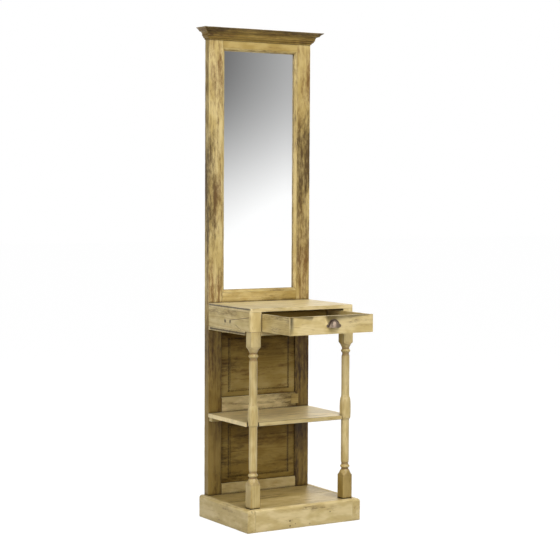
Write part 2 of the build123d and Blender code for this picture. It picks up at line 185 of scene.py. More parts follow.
class WoodSettings(bpy.types.PropertyGroup):
    """Colours and finish of the waxed pine."""
    light: FloatVectorProperty(
        name="Light wood", description="Colour of the pale wood between the year rings",
        subtype="COLOR", size=3, min=0, max=1, default=(0.64, 0.53, 0.285))
    deep: FloatVectorProperty(
        name="Ring wood", description="Colour of the dense wood of the year rings",
        subtype="COLOR", size=3, min=0, max=1, default=(0.43, 0.30, 0.11))
    stain: FloatVectorProperty(
        name="Old stain", description="Colour of the brown patches left by age and old polish",
        subtype="COLOR", size=3, min=0, max=1, default=(0.17, 0.075, 0.018))
    umber: FloatVectorProperty(
        name="Dark stain", description="Colour of the darkest stains",
        subtype="COLOR", size=3, min=0, max=1, default=(0.075, 0.04, 0.012))
    bloom: FloatVectorProperty(
        name="Scoured wood", description="Colour of the pale scoured flecks between the stains",
        subtype="COLOR", size=3, min=0, max=1, default=(0.78, 0.69, 0.42))
    # This dark colour also paints shade into corners, joints and recesses, through ambient occlusion in
    # the pine group.
    dirt: FloatVectorProperty(
        name="Dirt and shade", description="Colour of the dark wax that gathers in joints and corners",
        subtype="COLOR", size=3, min=0, max=1, default=(0.035, 0.018, 0.006))
    ring_spacing: FloatProperty(
        name="Ring spacing", description="Distance between two year rings",
        subtype="DISTANCE", unit="LENGTH", min=0.001, max=0.02, default=0.0045)
    edge_radius: FloatProperty(
        name="Edge rounding", description="Radius to which handling has rounded the edges",
        subtype="DISTANCE", unit="LENGTH", min=0.0002, max=0.004, default=0.0009)
    edge_wear: FloatProperty(
        name="Edge wear", description="Depth of the dents along the edges",
        subtype="DISTANCE", unit="LENGTH", min=0, max=0.003, default=0.0008)


class MetalSettings(bpy.types.PropertyGroup):
    """Colours of the mirror and of the cup pull."""
    silver: FloatVectorProperty(
        name="Silvering", description="Tint of the mirror",
        subtype="COLOR", size=3, min=0, max=1, default=(0.93, 0.935, 0.935))
    bronze: FloatVectorProperty(
        name="Bronze", description="Rubbed metal of the cup pull",
        subtype="COLOR", size=3, min=0, max=1, default=(0.21, 0.16, 0.12))
    patina: FloatVectorProperty(
        name="Patina", description="Dark brown skin in the hollows of the cup pull",
        subtype="COLOR", size=3, min=0, max=1, default=(0.035, 0.02, 0.012))


class StudioSettings(bpy.types.PropertyGroup):
    """Camera, lamps and floor."""
    lens: FloatProperty(
        name="Lens", description="Focal length on a 36 mm sensor",
        subtype="DISTANCE_CAMERA", min=20, max=300, default=103.716)
    key_power: FloatProperty(
        name="Key lamp", description="Power of the large soft lamp over the front",
        subtype="POWER", min=0, max=2000, default=235)
    fill_power: FloatProperty(
        name="Fill lamp", description="Power of the low soft lamp in front",
        subtype="POWER", min=0, max=2000, default=95)
    side_power: FloatProperty(
        name="Side lamp", description="Power of the soft lamp at the left",
        subtype="POWER", min=0, max=2000, default=130)
    rear_power: FloatProperty(
        name="Rear lamp", description="Power of the soft lamp behind, at the right",
        subtype="POWER", min=0, max=2000, default=170)
    ambient: FloatProperty(
        name="Ambient", description="Strength of the even light from all round",
        min=0, max=1, default=0.07)
    floor_size: FloatProperty(
        name="Floor size", description="Width and depth of the studio floor",
        subtype="DISTANCE", unit="LENGTH", min=4, max=100, default=60)


# Node helpers

def put(tree, kind, inputs=None, **options):
    """Add a node, set its options and feed its sockets with values or other sockets."""
    made = tree.nodes.new("ShaderNode" + kind)
    for key, value in options.items():
        setattr(made, key, value)
    for socket, value in (inputs or {}).items():
        if isinstance(value, bpy.types.NodeSocket):
            tree.links.new(value, made.inputs[socket])
        else:
            made.inputs[socket].default_value = value
    return made


def calc(tree, operation, *values, clamp=False):
    """One arithmetic step."""
    made = put(tree, "Math", dict(enumerate(values)), operation=operation, use_clamp=clamp)
    return made.outputs[0]


def vector_calc(tree, operation, *values):
    """One step of vector arithmetic."""
    made = put(tree, "VectorMath", dict(enumerate(values)), operation=operation)
    return made.outputs["Value" if operation in ("LENGTH", "DOT_PRODUCT") else "Vector"]


def ease(tree, value, low, high, to_low=0.0, to_high=1.0):
    """Smooth step of a value from one span to another."""
    made = put(tree, "MapRange", {"Value": value, "From Min": low, "From Max": high,
                                  "To Min": to_low, "To Max": to_high},
               interpolation_type="SMOOTHSTEP")
    return made.outputs["Result"]


def blend_colour(tree, factor, first, second, mode="MIX"):
    """Mix of two colours."""
    made = put(tree, "Mix", {0: factor, 6: first, 7: second}, data_type="RGBA", blend_type=mode)
    return made.outputs[2]


def cloud(tree, vector, scale, detail=2.0, roughness=0.5):
    """Noise between 0 and 1."""
    made = put(tree, "TexNoise", {"Vector": vector, "Scale": scale, "Detail": detail,
                                  "Roughness": roughness})
    return made.outputs["Fac"]


def stretch(tree, vector, amounts):
    """Scale a vector along its axes."""
    return vector_calc(tree, "MULTIPLY", vector, amounts)


def near_line(tree, place, start, end, width):
    """1 along the line between two points, falling to 0 with a ragged edge."""
    run = Vector(end) - Vector(start)
    away = vector_calc(tree, "SUBTRACT", place, start)
    reach = vector_calc(tree, "DOT_PRODUCT", away, run)
    along = calc(tree, "DIVIDE", reach, run.length_squared, clamp=True)
    nearest = put(tree, "VectorMath", {0: run, "Scale": along}, operation="SCALE").outputs["Vector"]
    gap = vector_calc(tree, "LENGTH", vector_calc(tree, "SUBTRACT", away, nearest))
    ragged = calc(tree, "MULTIPLY_ADD", cloud(tree, place, 260, 2), width, gap)
    return ease(tree, ragged, width * 1.5, width * 0.7)


def open_group(name, sockets):
    """A new node group with the given sockets, as (name, kind, is an output)."""
    tree = bpy.data.node_groups.new(name, "ShaderNodeTree")
    for title, kind, outgoing in sockets:
        tree.interface.new_socket(title, in_out="OUTPUT" if outgoing else "INPUT",
                                  socket_type="NodeSocket" + kind)
    return tree, tree.nodes.new("NodeGroupInput").outputs, tree.nodes.new("NodeGroupOutput").inputs


def build_grain_group():
    """Solid pine: year rings round a pith line along Z, fibres, pores, stain, and dark wax with painted
    shade in the corners.
    """
    wood = bpy.context.scene.hall_stand_wood
    tree, given, result = open_group("Waxed pine", [
        ("Place", "Vector", False), ("Tone", "Float", False), ("Stain", "Float", False),
        ("Dirt and shade", "Float", False), ("Marks and shade lines", "Float", False),
        ("Colour", "Color", True), ("Roughness", "Float", True), ("Height", "Float", True)])
    place = given["Place"]
    drawn = stretch(tree, place, (1, 1, 0.1))
    sway = put(tree, "TexNoise", {"Vector": drawn, "Scale": 7.0, "Detail": 2.0}).outputs["Color"]
    sway = stretch(tree, vector_calc(tree, "SUBTRACT", sway, (0.5, 0.5, 0.5)), (0.05, 0.05, 0))
    swayed = vector_calc(tree, "ADD", stretch(tree, place, (1, 1, 0)), sway)
    from_pith = vector_calc(tree, "LENGTH", swayed)
    pushed = calc(tree, "MULTIPLY_ADD", given["Marks and shade lines"], 0.008, from_pith)
    phase = calc(tree, "DIVIDE", pushed, wood.ring_spacing)
    wave = calc(tree, "SINE", calc(tree, "MULTIPLY", phase, 2 * math.pi))
    late = calc(tree, "POWER", calc(tree, "MULTIPLY_ADD", wave, 0.5, 0.5), 2.5)

    fibre = cloud(tree, stretch(tree, place, (1, 1, 0.018)), 520, 2)
    streak = cloud(tree, stretch(tree, place, (1, 1, 0.05)), 85, 3)
    patch = cloud(tree, stretch(tree, place, (1, 1, 0.22)), 16, 4, 0.62)
    crust = cloud(tree, stretch(tree, place, (1, 1, 0.28)), 120, 6, 0.75)
    wide = cloud(tree, stretch(tree, place, (1, 1, 0.3)), 4.5, 2)
    fleck = ease(tree, cloud(tree, stretch(tree, place, (1, 1, 0.09)), 300, 1), 0.66, 0.74)

    ring_mix = calc(tree, "MULTIPLY_ADD", late, 0.42, calc(tree, "MULTIPLY", streak, 0.42))
    ring_mix = calc(tree, "MULTIPLY_ADD", fibre, 0.25, calc(tree, "SUBTRACT", ring_mix, 0.18), clamp=True)
    colour = blend_colour(tree, ring_mix, (*wood.light, 1), (*wood.deep, 1))
    cover = patch
    for layer, share in ((wide, 0.7), (streak, 0.5), (crust, 0.9)):
        cover = calc(tree, "MULTIPLY_ADD", calc(tree, "SUBTRACT", layer, 0.5), share, cover)
    cover = calc(tree, "MULTIPLY_ADD", given["Stain"], 0.27, cover)
    pale = calc(tree, "MULTIPLY", ease(tree, crust, 0.55, 0.68), given["Stain"], clamp=True)
    colour = blend_colour(tree, calc(tree, "MULTIPLY", pale, 0.55), colour, (*wood.bloom, 1))
    brown = blend_colour(tree, ease(tree, wide, 0.42, 0.58), (*wood.stain, 1), (*wood.umber, 1))
    stained = calc(tree, "MULTIPLY", ease(tree, cover, 0.56, 0.98), 0.92)
    colour = blend_colour(tree, stained, colour, brown)
    mottled = ease(tree, cloud(tree, stretch(tree, place, (1, 1, 0.5)), 26, 2), 0.35, 0.65, 0.84, 1.06)
    # Painted shade: the hollow attribute darkens the legs' grooves and the shoulders under their blocks
    # towards the stain colour.
    hollow = put(tree, "Attribute", attribute_name="hollow").outputs["Fac"]
    colour = blend_colour(tree, calc(tree, "MULTIPLY", hollow, 0.5), colour, (*wood.stain, 1))
    colour = blend_colour(tree, calc(tree, "MULTIPLY", fleck, 0.35), colour, (*wood.stain, 1))
    colour = blend_colour(tree, calc(tree, "MULTIPLY", given["Marks and shade lines"], 0.88), colour, (*wood.dirt, 1))

    # Painted shade: ambient occlusion darkens corners, joints and recesses towards the dirt colour, which
    # stands for both dark wax and the shade there.
    corner = put(tree, "AmbientOcclusion", {"Distance": 0.014}, samples=6).outputs["AO"]
    grime_and_shade = calc(tree, "SUBTRACT", 1.0, ease(tree, corner, 0.3, 0.92))
    grime_and_shade = calc(tree, "MULTIPLY", grime_and_shade, given["Dirt and shade"], clamp=True)
    colour = blend_colour(tree, grime_and_shade, colour, (*wood.dirt, 1))
    # Lightens rubbed faces: edge wear on the boards' rounded edges, and a painted highlight on the legs'
    # ring crests and the shelf's rounded front.
    rubbed_and_highlight = put(tree, "Attribute", attribute_name="rubbed_and_highlight").outputs["Fac"]
    colour = blend_colour(tree, calc(tree, "MULTIPLY", rubbed_and_highlight, 0.3), colour, (*wood.light, 1))
    # Tone scales the colour and warms it as it darkens; where a board's tone or fade stands for shade,
    # this warmth is painted shade too.
    level = calc(tree, "MULTIPLY", given["Tone"], mottled)
    warmth = [calc(tree, "MINIMUM", level, calc(tree, "POWER", level, power)) for power in (1.22, 2.1)]
    tone = put(tree, "CombineColor", {0: level, 1: warmth[0], 2: warmth[1]})
    colour = blend_colour(tree, 1.0, colour, tone.outputs[0], "MULTIPLY")

    tree.links.new(colour, result["Colour"])
    rough = calc(tree, "MULTIPLY_ADD", streak, 0.2, 0.32)
    tree.links.new(calc(tree, "MULTIPLY_ADD", grime_and_shade, 0.2, rough), result["Roughness"])
    height = calc(tree, "MULTIPLY_ADD", late, 0.35, calc(tree, "MULTIPLY", fibre, 0.5))
    height = calc(tree, "SUBTRACT", height, calc(tree, "MULTIPLY", fleck, 0.8))
    tree.links.new(calc(tree, "SUBTRACT", height, given["Marks and shade lines"]), result["Height"])
    return tree


def grain_group():
    """The pine group, made once."""
    return bpy.data.node_groups.get("Waxed pine") or build_grain_group()


def pine(name, turn, shift, tone=1.0, stain=0.0, dirt=0.8, gloss=0.2, knots=(), marks=(), fade=None):
    """A waxed pine material with its grain turned along the board.

    knots are (centre, radius) on the board's face; marks are (start, end, width) of cracks, dark
    strips and lines of painted shade; fade is (axis, from, to, share), the share of its tone that
    the board has left at the far end, which on some boards paints shade and on the shelf paints
    light. All in metres.
    """
    material = bpy.data.materials.new(name)
    material.use_nodes = True
    tree = material.node_tree
    tree.nodes.clear()
    place = put(tree, "TexCoord").outputs["Object"]
    mapped = put(tree, "Mapping", {"Vector": place, "Location": shift, "Rotation": turn})
    spots = 0.0
    for centre, radius in knots:
        away = vector_calc(tree, "SUBTRACT", place, centre)
        reach = vector_calc(tree, "LENGTH", away)
        wobble = cloud(tree, place, 60, 1)
        reach = calc(tree, "MULTIPLY_ADD", wobble, radius, reach)
        spots = calc(tree, "ADD", spots, ease(tree, reach, radius * 1.75, radius * 0.8), clamp=True)
    for start, end, width in marks:
        spots = calc(tree, "ADD", spots, near_line(tree, place, start, end, width), clamp=True)
    if fade:
        axis, near, far, share = fade
        ways = put(tree, "SeparateXYZ", {0: place}).outputs[axis]
        tone = put(tree, "MapRange", {"Value": ways, "From Min": near, "From Max": far,
                                      "To Min": tone, "To Max": tone * share}).outputs["Result"]
    grain = put(tree, "Group", node_tree=grain_group())
    tree.links.new(mapped.outputs[0], grain.inputs["Place"])
    for socket, value in (("Tone", tone), ("Stain", stain), ("Dirt and shade", dirt), ("Marks and shade lines", spots)):
        if isinstance(value, bpy.types.NodeSocket):
            tree.links.new(value, grain.inputs[socket])
        else:
            grain.inputs[socket].default_value = value
    bump = put(tree, "Bump", {"Height": grain.outputs["Height"], "Strength": 0.35, "Distance": 0.0006})
    skin = put(tree, "BsdfPrincipled", {
        "Base Color": grain.outputs["Colour"], "Roughness": grain.outputs["Roughness"],
        "Normal": bump.outputs[0], "Specular IOR Level": gloss, "Coat Weight": gloss / 2,
        "Coat Roughness": 0.3})
    tree.links.new(skin.outputs[0], put(tree, "OutputMaterial").inputs[0])
    return material


def mirror_material():
    """Silvered glass with a trace of dust."""
    material = bpy.data.materials.new("Mirror glass")
    material.use_nodes = True
    tree = material.node_tree
    tree.nodes.clear()
    place = put(tree, "TexCoord").outputs["Object"]
    haze = ease(tree, cloud(tree, place, 9, 4), 0.3, 0.8, 0.012, 0.03)
    metals = bpy.context.scene.hall_stand_metal
    silver = blend_colour(tree, ease(tree, cloud(tree, place, 25, 3), 0.4, 0.8, 0, 0.04),
                          (*metals.silver, 1), (0.85, 0.84, 0.8, 1))
    skin = put(tree, "BsdfPrincipled", {"Base Color": silver, "Metallic": 1.0, "Roughness": haze})
    tree.links.new(skin.outputs[0], put(tree, "OutputMaterial").inputs[0])
    return material


def bronze_material():
    """Bronzed metal, rubbed bright on the crown and dark in the hollows."""
    metals = bpy.context.scene.hall_stand_metal
    material = bpy.data.materials.new("Rubbed bronze")
    material.use_nodes = True
    tree = material.node_tree
    tree.nodes.clear()
    place = put(tree, "TexCoord").outputs["Object"]
    hollow = put(tree, "AmbientOcclusion", {"Distance": 0.01}, samples=4).outputs["AO"]
    worn = ease(tree, calc(tree, "MULTIPLY_ADD", cloud(tree, place, 180, 3), 0.3, hollow), 0.75, 1.15)
    colour = blend_colour(tree, worn, (*metals.patina, 1), (*metals.bronze, 1))
    rough = ease(tree, cloud(tree, place, 320, 3), 0.3, 0.7, 0.42, 0.6)
    bump = put(tree, "Bump", {"Height": cloud(tree, place, 420, 2), "Strength": 0.25, "Distance": 0.0003})
    skin = put(tree, "BsdfPrincipled", {"Base Color": colour, "Metallic": 1.0, "Roughness": rough,
                                        "Normal": bump.outputs[0]})
    tree.links.new(skin.outputs[0], put(tree, "OutputMaterial").inputs[0])
    return material


# Boards

def body_of(node):
    """The body that a node rides on."""
    for body, members in frame["record"]["behaviour"]["bodies"].items():
        if node in members:
            return body
    raise ValueError("no body holds " + node)


def finish_piece(shape, node, material):
    """Turn a mesh into the piece that stands for a node."""
    mesh = bpy.data.meshes.new("worn_" + node)
    shape.to_mesh(mesh)
    shape.free()
    piece = bpy.data.objects.new("worn_" + node, mesh)
    bpy.context.scene.collection.objects.link(piece)
    mesh.materials.append(material)
    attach(piece, body_of(node))
    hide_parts(node)
    return piece


def cut_in_lengths(shape, node):
    """Cut a mesh across its longest side, so that the dents have points to move."""
    low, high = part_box(node)
    span = high - low
    axis = max(range(3), key=lambda i: span[i])
    normal = Vector([float(i == axis) for i in range(3)])
    lengths = int(span[axis] / CUT_SPACING)
    for index in range(1, lengths):
        point = low + normal * (index * span[axis] / lengths)
        bmesh.ops.bisect_plane(shape, geom=shape.verts[:] + shape.edges[:] + shape.faces[:],
                               plane_co=point, plane_no=normal, dist=1e-5)


def dent(shape, depth):
    """Press many shallow dents and a few deep ones into a mesh."""
    shape.normal_update()
    for vertex in shape.verts:
        shallow = max(0.0, noise.noise(vertex.co * 31.0) + 0.1)
        deep = 2.2 * max(0.0, noise.noise(vertex.co * 57.0) - 0.32)
        vertex.co += vertex.normal * (-depth * (shallow + deep))


def worn_shape(node, radius=None):
    """A node's mesh with its outer edges rounded and dented by use."""
    wood = bpy.context.scene.hall_stand_wood
    radius = wood.edge_radius if radius is None else radius
    shape = bmesh.new()
    shape.from_mesh(frame["nodes"][node].data)
    bmesh.ops.remove_doubles(shape, verts=shape.verts, dist=MERGE_GAP)
    bmesh.ops.dissolve_limit(shape, angle_limit=FLAT_ANGLE, verts=shape.verts, edges=shape.edges)
    rubbed_and_highlight = shape.faces.layers.float.new("rubbed_and_highlight")
    sharp = [edge for edge in shape.edges
             if edge.is_manifold and edge.is_convex and edge.calc_face_angle(0) > SHARP_ANGLE]
    made = bmesh.ops.bevel(shape, geom=sharp, offset=radius, segments=2, profile=0.6,
                           affect="EDGES", clamp_overlap=True)
    for face in made["faces"]:
        reach = max(edge.calc_length() for edge in face.edges)
        face[rubbed_and_highlight] = 1.0 if face.calc_area() < reach * radius * 1.5 else 0.0
    bmesh.ops.remove_doubles(shape, verts=shape.verts, dist=BEVEL_GAP)
    bmesh.ops.dissolve_degenerate(shape, dist=MERGE_GAP, edges=shape.edges)
    bmesh.ops.triangulate(shape, faces=[face for face in shape.faces if len(face.verts) > 4])
    bmesh.ops.recalc_face_normals(shape, faces=shape.faces)
    cut_in_lengths(shape, node)
    dent(shape, wood.edge_wear)
    return shape


def board_material(node, turn, tone, stain, **finish):
    """Pine for one board, its pith line set off to one side so that each board differs."""
    low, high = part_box(node)
    centre = (low + high) / 2
    seed = node_names.index(node) * 1.7
    rotation = Matrix.Identity(3)
    for angle, letter in zip(turn, "XYZ"):
        rotation = Matrix.Rotation(angle, 3, letter) @ rotation
    settled = -(rotation @ centre)
    distance = PITH_NEAR + PITH_SPREAD * abs(math.sin(seed * 2.3))
    away = Vector((math.cos(seed), math.sin(seed), 0)) * distance
    shift = settled + away + Vector((0, 0, seed))
    return pine("Pine " + node.replace("_", " "), turn, shift, tone, stain, **finish)


def board(node, turn, tone, stain, radius=None, **finish):
    """A worn board in pine: the way its grain runs, its tone and how stained it is."""
    material = board_material(node, turn, tone, stain, **finish)
    return finish_piece(worn_shape(node, radius), node, material)


def inset_lines(node, side, end, width):
    """Four dark lines set in from the sides and ends of a panel's face."""
    low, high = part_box(node)
    left, right, foot, head = low.x + side, high.x - side, low.z + end, high.z - end
    corners = [(left, low.y, foot), (right, low.y, foot), (right, low.y, head), (left, low.y, head)]
    return [(corners[index - 1], corners[index], width) for index in range(4)]


def panel_shade_lines(node):
    """Dark lines round the raised field of a panel, painted shade at its step, and along the frame round
    it, a dark joint with painted shade.
    """
    field = inset_lines(node, side=0.045, end=0.035, width=0.007)
    return field + inset_lines(node, side=0.012, end=0.012, width=0.006)


def smooth_metal(node, material):
    """A metal piece whose round faces shade as one surface up to its sharp edges."""
    shape = bmesh.new()
    shape.from_mesh(frame["nodes"][node].data)
    bmesh.ops.remove_doubles(shape, verts=shape.verts, dist=MERGE_GAP)
    for face in shape.faces:
        face.smooth = True
    for edge in shape.edges:
        edge.smooth = edge.is_manifold and edge.calc_face_angle(0) < SHARP_ANGLE
    return finish_piece(shape, node, material)


# Turned legs

def inside(height, spans):
    """Whether a height lies in one of the spans."""
    return any(start < height < end for start, end in spans)


def turned_radius(profile, height):
    """The radius at a height, on straight lines between the points of a profile."""
    if height <= profile[0][0]:
        return profile[0][1]
    for (low, first), (high, second) in zip(profile, profile[1:]):
        if height <= high:
            share = (height - low) / (high - low)
            return first + (second - first) * share
    return profile[-1][1]


def leg_profile(drum, lift):
    """A leg's turning from foot to head, with a drum of the given radius that ends higher by lift."""
    bottom, top = DRUM_FOOT, DRUM_HEAD + lift
    swell = drum - WAIST
    middle = (
        (bottom, WAIST), (bottom + 0.002, WAIST + 0.4 * swell), (bottom + 0.006, WAIST + 0.75 * swell),
        (bottom + 0.012, drum - 0.0009), (bottom + 0.026, drum - 0.0003), (bottom + 0.052, drum),
        (top - 0.023, drum - 0.0007), (top - 0.014, drum - 0.0013), (top - 0.009, drum - 0.0022),
        (top - 0.0055, WAIST + 0.62 * swell), (top - 0.002, WAIST + 0.3 * swell),
        (top + 0.004, WAIST + 0.0006), (top + 0.012, WAIST),
    )
    return LEG_FOOT + middle + LEG_HEAD


def leg_rows(profile, low, high):
    """(height, radius) of each row from the spigot up, with more rows where the leg is turned."""
    base_top = round(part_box("base_board_front")[1].z, 6)
    rows = [(low, SPIGOT_RADIUS), (base_top, SPIGOT_RADIUS), (base_top, LEG_CORNER)]
    height = base_top
    while height < high - LAST_ROW:
        height = min(high, height + (FINE_ROW if inside(height, TURNED_SPANS) else PLAIN_ROW))
        rows.append((height, turned_radius(profile, height)))
    return rows


def leg_ring(shape, centre, height, radius):
    """One row of points round a leg, where the square block cuts into the turning."""
    points = []
    for index in range(LEG_FACETS):
        angle = 2 * math.pi * index / LEG_FACETS + math.pi / 4
        across, along = math.cos(angle), math.sin(angle)
        flat = LEG_HALF / max(abs(across), abs(along))
        reach = min(radius, flat, LEG_HALF * math.sqrt(2) - CORNER_EASE)
        spot = Vector((across * reach, along * reach, height)) + centre
        wear = LEG_WEAR * noise.noise(spot * 40.0) - LEG_WORN_BACK
        spot.x += across * wear
        spot.y += along * wear
        points.append(shape.verts.new(spot))
    return points


def turned_leg(node, drum, lift, material):
    """A turned leg: a lathe profile that the square of its blocks cuts into arches."""
    low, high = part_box(node)
    centre = Vector(((low.x + high.x) / 2, (low.y + high.y) / 2, 0))
    shape = bmesh.new()
    rubbed_and_highlight = shape.faces.layers.float.new("rubbed_and_highlight")
    hollow = shape.faces.layers.float.new("hollow")
    rows = leg_rows(leg_profile(drum, lift), low.z, high.z)
    rings = [leg_ring(shape, centre, height, radius) for height, radius in rows]
    for lower, upper in zip(rings, rings[1:]):
        for index in range(LEG_FACETS):
            follow = (index + 1) % LEG_FACETS
            face = shape.faces.new((lower[index], lower[follow], upper[follow], upper[index]))
            face.smooth = True
            middle = face.calc_center_median()
            reach = (middle - centre).to_2d().length
            # Painted shade: narrow rows of the turning and the shoulders under the blocks are marked to
            # be darkened.
            wax = max(0.0, min(1.0, (HOLLOW_RADIUS - reach) / HOLLOW_DEPTH))
            face[hollow] = wax + (SHOULDER_SHADE if inside(middle.z, SHOULDER_SPANS) else 0.0)
            # Block corners are worn lighter; ring crests get wear and a painted highlight.
            on_corner = reach > LEG_HALF * 1.34
            on_crest = RING_CREST < reach < RING + 0.0005
            face[rubbed_and_highlight] = 1.0 if on_corner or on_crest else 0.0
    shape.faces.new(rings[0][::-1])
    shape.faces.new(rings[-1])
    for edge in shape.edges:
        edge.smooth = edge.is_manifold and edge.calc_face_angle(0) < LEG_CREASE
    return finish_piece(shape, node, material)


# Shelf

def shelf_outline(low, high):
    """The shelf from above, round the back, past both ends and round the drums to its front."""
    outline = []
    for leg, side in (("leg_left", -1), ("leg_right", 1)):
        near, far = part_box(leg)
        centre_x, centre_y = (near.x + far.x) / 2, (near.y + far.y) / 2
        start = math.asin((low.y - centre_y) / NOTCH_RADIUS)
        end = math.asin((centre_y - SHELF_FRONT) / NOTCH_RADIUS)
        sweep = math.pi - start + end
        path = [(side * high.x, high.y), (side * high.x, low.y)]
        for step in range(NOTCH_STEPS + 1):
            angle = math.pi - start - sweep * step / NOTCH_STEPS
            path.append((centre_x - side * NOTCH_RADIUS * math.cos(angle),
                         centre_y + NOTCH_RADIUS * math.sin(angle)))
        outline += path if side < 0 else path[::-1]
    return outline


def notched_shelf(node, material):
    """The shelf: its front comes further between the legs than beside them, round both drums."""
    low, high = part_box(node)
    outline = shelf_outline(low, high)
    at_front = [y < SHELF_FRONT + FRONT_GAP for x, y in outline]
    inner = SHELF_ROUND * ROUND_SHARE
    levels = ((low.z, SHELF_ROUND), (low.z + inner, inner), (low.z + SHELF_ROUND, 0.0),
              (high.z - SHELF_ROUND, 0.0), (high.z - inner, inner), (high.z, SHELF_ROUND))
    shape = bmesh.new()
    rings = []
    for height, drawn_in in levels:
        rings.append([shape.verts.new((x, y + (drawn_in if front else 0.0), height))
                      for (x, y), front in zip(outline, at_front)])
    rubbed_and_highlight = shape.faces.layers.float.new("rubbed_and_highlight")
    flat_level = levels.index((low.z + SHELF_ROUND, 0.0))
    for level, (lower, upper) in enumerate(zip(rings, rings[1:])):
        for index in range(len(outline)):
            follow = (index + 1) % len(outline)
            face = shape.faces.new((lower[index], lower[follow], upper[follow], upper[index]))
            # The rounded front is lightened: wear, and a painted highlight.
            face[rubbed_and_highlight] = 1.0 if level != flat_level and at_front[index] else 0.0
    caps = [shape.faces.new(rings[0][::-1]), shape.faces.new(rings[-1])]
    bmesh.ops.recalc_face_normals(shape, faces=shape.faces)
    bmesh.ops.triangulate(shape, faces=caps)
    return finish_piece(shape, node, material)


class STAND_OT_back_frame(bpy.types.Operator):
    """Stiles, rails and the patch of the back frame"""
    bl_idname = "stand.back_frame"
    bl_label = "Back frame"

    def execute(self, context):
        # Painted shade: the stiles darken below the table top, and the middle and lock rails darken
        # towards the right, partly painted shade.
        shaded = ("Z", 0.93, 0.8, 0.52)
        board("stile_left", ALONG_Z, 0.82, 0.7, dirt=1.2, marks=STILE_CRACKS, fade=shaded)
        board("stile_right", ALONG_Z, 0.72, 0.95, dirt=1.2, fade=shaded)
        board("top_rail", ALONG_X, 0.6, 0.5, dirt=1.2)
        board("middle_rail", ALONG_X, 0.84, 0.3, dirt=1.2, fade=("X", -0.18, 0.2, 0.68))
        board("lock_rail", ALONG_X, 1.1, 0.3, dirt=1.2, radius=FINE_EDGE, fade=("X", 0.09, 0.2, 0.5))
        board("bottom_rail", ALONG_X, 0.85, 0.4, dirt=1.2)
        board("rail_patch", ALONG_X, 0.6, 0.4, dirt=1.4, radius=FINE_EDGE)
        return {"FINISHED"}


class STAND_OT_panels(bpy.types.Operator):
    """The two raised panels"""
    bl_idname = "stand.panels"
    bl_label = "Panels"

    def execute(self, context):
        # The panels' low tones, and their fades that darken towards the top, are partly painted shade
        # under the shelf and the table top.
        board("lower_panel", ALONG_X, 0.44, 0.5, dirt=1.4, radius=FINE_EDGE, gloss=0.1,
              marks=panel_shade_lines("lower_panel"), fade=("Z", 0.3, 0.41, 0.6))
        board("upper_panel", ALONG_X, 0.62, 0.5, dirt=1.4, radius=FINE_EDGE, gloss=0.1,
              marks=panel_shade_lines("upper_panel"), fade=("Z", 0.56, 0.79, 0.42))
        return {"FINISHED"}


class STAND_OT_mirror(bpy.types.Operator):
    """Mirror glass, its mouldings, the back board and the rear beads"""
    bl_idname = "stand.mirror"
    bl_label = "Mirror"

    def execute(self, context):
        frame["nodes"]["mirror_glass"].data.materials.clear()
        frame["nodes"]["mirror_glass"].data.materials.append(mirror_material())
        for side, turn in (("bottom", ALONG_X), ("top", ALONG_X), ("left", ALONG_Z), ("right", ALONG_Z)):
            board("mirror_moulding_" + side, turn, 0.75, 0.4, radius=FINE_EDGE)
            board("rear_bead_" + side, turn, 0.8, 0.2, radius=BEAD_EDGE)
        board("mirror_backboard", ALONG_Z, 0.7, 0.3, radius=FINE_EDGE, gloss=0.1)
        return {"FINISHED"}


class STAND_OT_cornice(bpy.types.Operator):
    """The moulded cornice and its returns"""
    bl_idname = "stand.cornice"
    bl_label = "Cornice"

    def execute(self, context):
        board("cornice_front", ALONG_X, 0.42, 0.8, dirt=1.2, radius=FINE_EDGE, gloss=0.15)
        for side in ("left", "right"):
            board("cornice_return_" + side, ALONG_Y, 0.42, 0.8, dirt=1.2, radius=FINE_EDGE, gloss=0.15)
        return {"FINISHED"}


class STAND_OT_table(bpy.types.Operator):
    """Table top, frieze, facings and the fittings of the drawer"""
    bl_idname = "stand.table"
    bl_label = "Table"

    def execute(self, context):
        board("table_top", ALONG_X, 0.98, -0.3, gloss=0.4, marks=TOP_MARKS)
        board("frieze_side_left", ALONG_Y, 0.9, 0.0, knots=FRIEZE_KNOTS, marks=FRIEZE_CRACKS)
        board("frieze_side_right", ALONG_Y, 0.95, 0.1)
        board("facing_left", ALONG_Z, 0.95, -0.3)
        board("facing_right", ALONG_Z, 0.95, -0.3, radius=FINE_EDGE)
        board("drawer_floor", ALONG_X, 0.95, 0.1, marks=FLOOR_MARKS)
        for side in ("left", "right"):
            board("drawer_guide_" + side, ALONG_Y, 0.7, 0.2, gloss=0.1)
            board("drawer_kicker_" + side, ALONG_Y, 0.7, 0.2, gloss=0.1)
            board("drawer_stop_" + side, ALONG_X, 0.7, 0.2, gloss=0.1)
        return {"FINISHED"}


class STAND_OT_drawer(bpy.types.Operator):
    """The drawer's front, sides, back and bottom"""
    bl_idname = "stand.drawer"
    bl_label = "Drawer"

    def execute(self, context):
        board("drawer_front", ALONG_X, 0.92, -0.2, dirt=0.3, radius=FINE_EDGE)
        board("drawer_side_left", ALONG_Y, 0.85, 0.15)
        board("drawer_side_right", ALONG_Y, 0.85, 0.15)
        # The back and the bottom are toned dark: painted shade inside the drawer.
        board("drawer_back", ALONG_X, 0.45, 0.3, gloss=0.1)
        board("drawer_bottom", ALONG_X, 0.3, 0.5, gloss=0.1, radius=THIN_EDGE)
        return {"FINISHED"}


class STAND_OT_cup_pull(bpy.types.Operator):
    """The cup pull and its screws"""
    bl_idname = "stand.cup_pull"
    bl_label = "Cup pull"

    def execute(self, context):
        bronze = bronze_material()
        for node in ("cup_pull", "pull_screw_left", "pull_screw_right"):
            smooth_metal(node, bronze)
        return {"FINISHED"}


